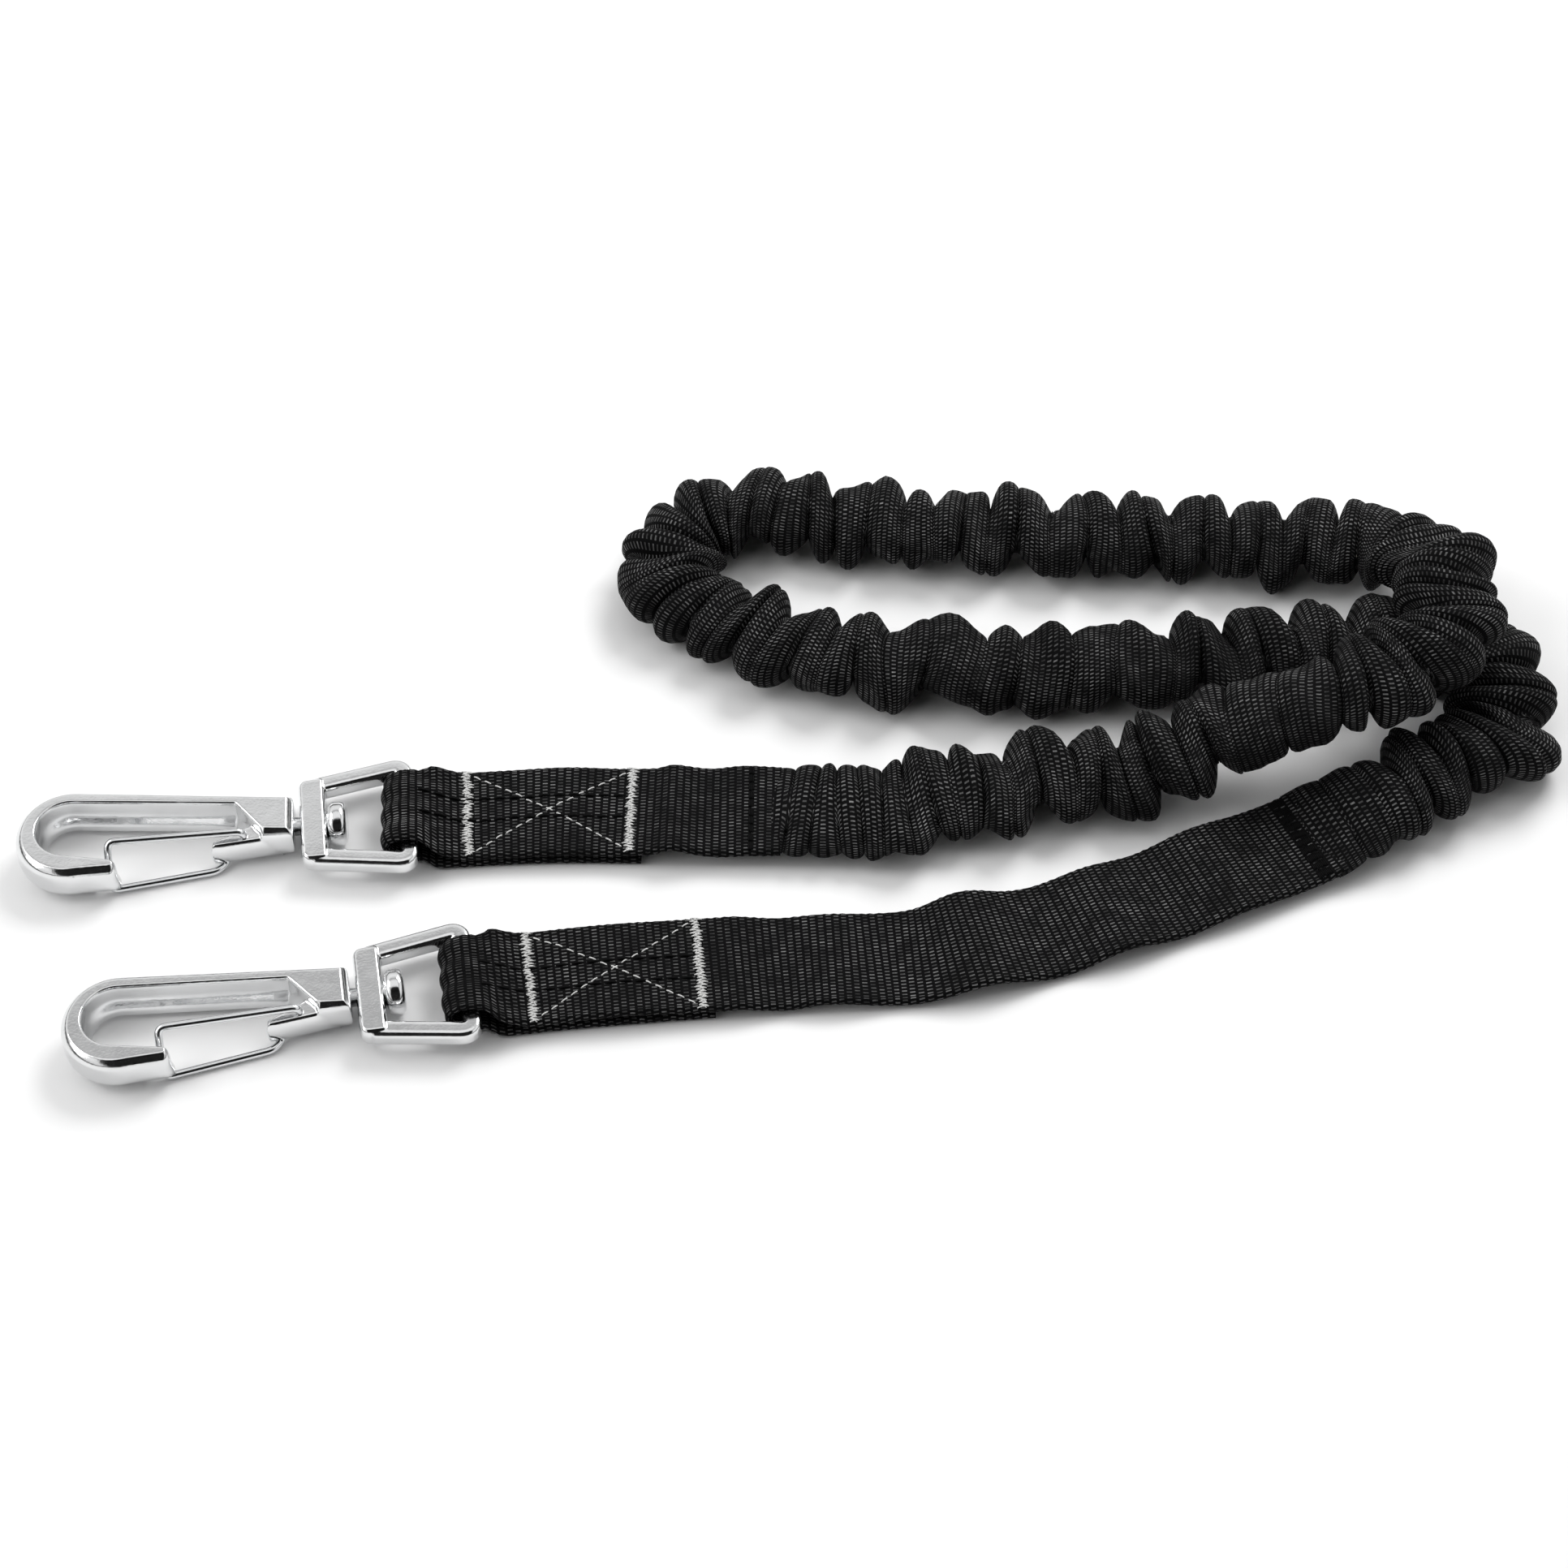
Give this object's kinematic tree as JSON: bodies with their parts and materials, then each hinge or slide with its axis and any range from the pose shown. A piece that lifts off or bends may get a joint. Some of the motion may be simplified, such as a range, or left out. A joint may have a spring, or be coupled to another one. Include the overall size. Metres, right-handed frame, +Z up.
{
  "type": "shock absorbing lanyard",
  "caption": "Elastic tool lanyard: black tubular webbing gathered over a hidden elastic core, with a swivelling cast snap hook and wire gate sewn into each end.",
  "frame": {"origin": "middle of the whole lanyard's box, on the surface that it lies on", "axes": "+X from the hooks towards the far loop of the strap, +Y towards the back of the loop, +Z up"},
  "size_m": [0.3664, 0.1848, 0.0329],
  "materials": {
    "cast_chrome": "bright plated casting with a faint cast texture and soft edges",
    "spring_wire": "bright drawn spring wire",
    "webbing": "coarse plain weave of black filament yarn with light grey flecks",
    "elastic": "covered elastic tape",
    "white_thread": "white bonded sewing thread, slightly fuzzy",
    "black_thread": "black bonded sewing thread"
  },
  "bodies": {
    "webbing": {"webbing_sleeve": "webbing", "elastic_core": "elastic", "webbing_end_1": "webbing", "bar_tack_1_near": "white_thread", "bar_tack_1_far": "white_thread", "cross_stitch_1": "white_thread", "seam_row_1_a": "black_thread", "seam_row_1_b": "black_thread", "core_anchor_tack_1": "black_thread", "webbing_end_2": "webbing", "bar_tack_2_near": "white_thread", "bar_tack_2_far": "white_thread", "cross_stitch_2": "white_thread", "seam_row_2_a": "black_thread", "seam_row_2_b": "black_thread", "core_anchor_tack_2": "black_thread"},
    "eye_1": {"swivel_eye_1": "cast_chrome"},
    "hook_1": {"hook_body_1": "cast_chrome", "swivel_rivet_1": "cast_chrome"},
    "gate_1": {"wire_gate_1": "spring_wire"},
    "eye_2": {"swivel_eye_2": "cast_chrome"},
    "hook_2": {"hook_body_2": "cast_chrome", "swivel_rivet_2": "cast_chrome"},
    "gate_2": {"wire_gate_2": "spring_wire"}
  },
  "joints": [
    {"name": "eye_1_swing", "type": "hinge", "parent": "webbing", "child": "eye_1", "pos_m": [-0.0923, -0.01594, 0.0055], "axis": [-0.1305, 0.9914, 0], "range_deg": [-90, 90]},
    {"name": "hook_1_swivel", "type": "hinge", "parent": "eye_1", "child": "hook_1", "pos_m": [-0.11867, -0.01941, 0.0055], "axis": [0.9962, 0.0872, 0], "continuous": true},
    {"name": "gate_1_open", "type": "hinge", "parent": "hook_1", "child": "gate_1", "pos_m": [-0.12986, -0.0246, 0.0055], "axis": [0, 0, -1], "range_deg": [0, 18], "stiffness_Nm_per_rad": 0.15, "springref_deg": -11.46},
    {"name": "eye_2_swing", "type": "hinge", "parent": "webbing", "child": "eye_2", "pos_m": [-0.07513, -0.06532, 0.0055], "axis": [-0.165, 0.9863, 0], "range_deg": [-90, 90]},
    {"name": "hook_2_swivel", "type": "hinge", "parent": "eye_2", "child": "hook_2", "pos_m": [-0.10137, -0.06971, 0.0055], "axis": [0.9863, 0.165, 0], "continuous": true},
    {"name": "gate_2_open", "type": "hinge", "parent": "hook_2", "child": "gate_2", "pos_m": [-0.11212, -0.07577, 0.0055], "axis": [0, 0, -1], "range_deg": [0, 18], "stiffness_Nm_per_rad": 0.15, "springref_deg": -11.46}
  ]
}
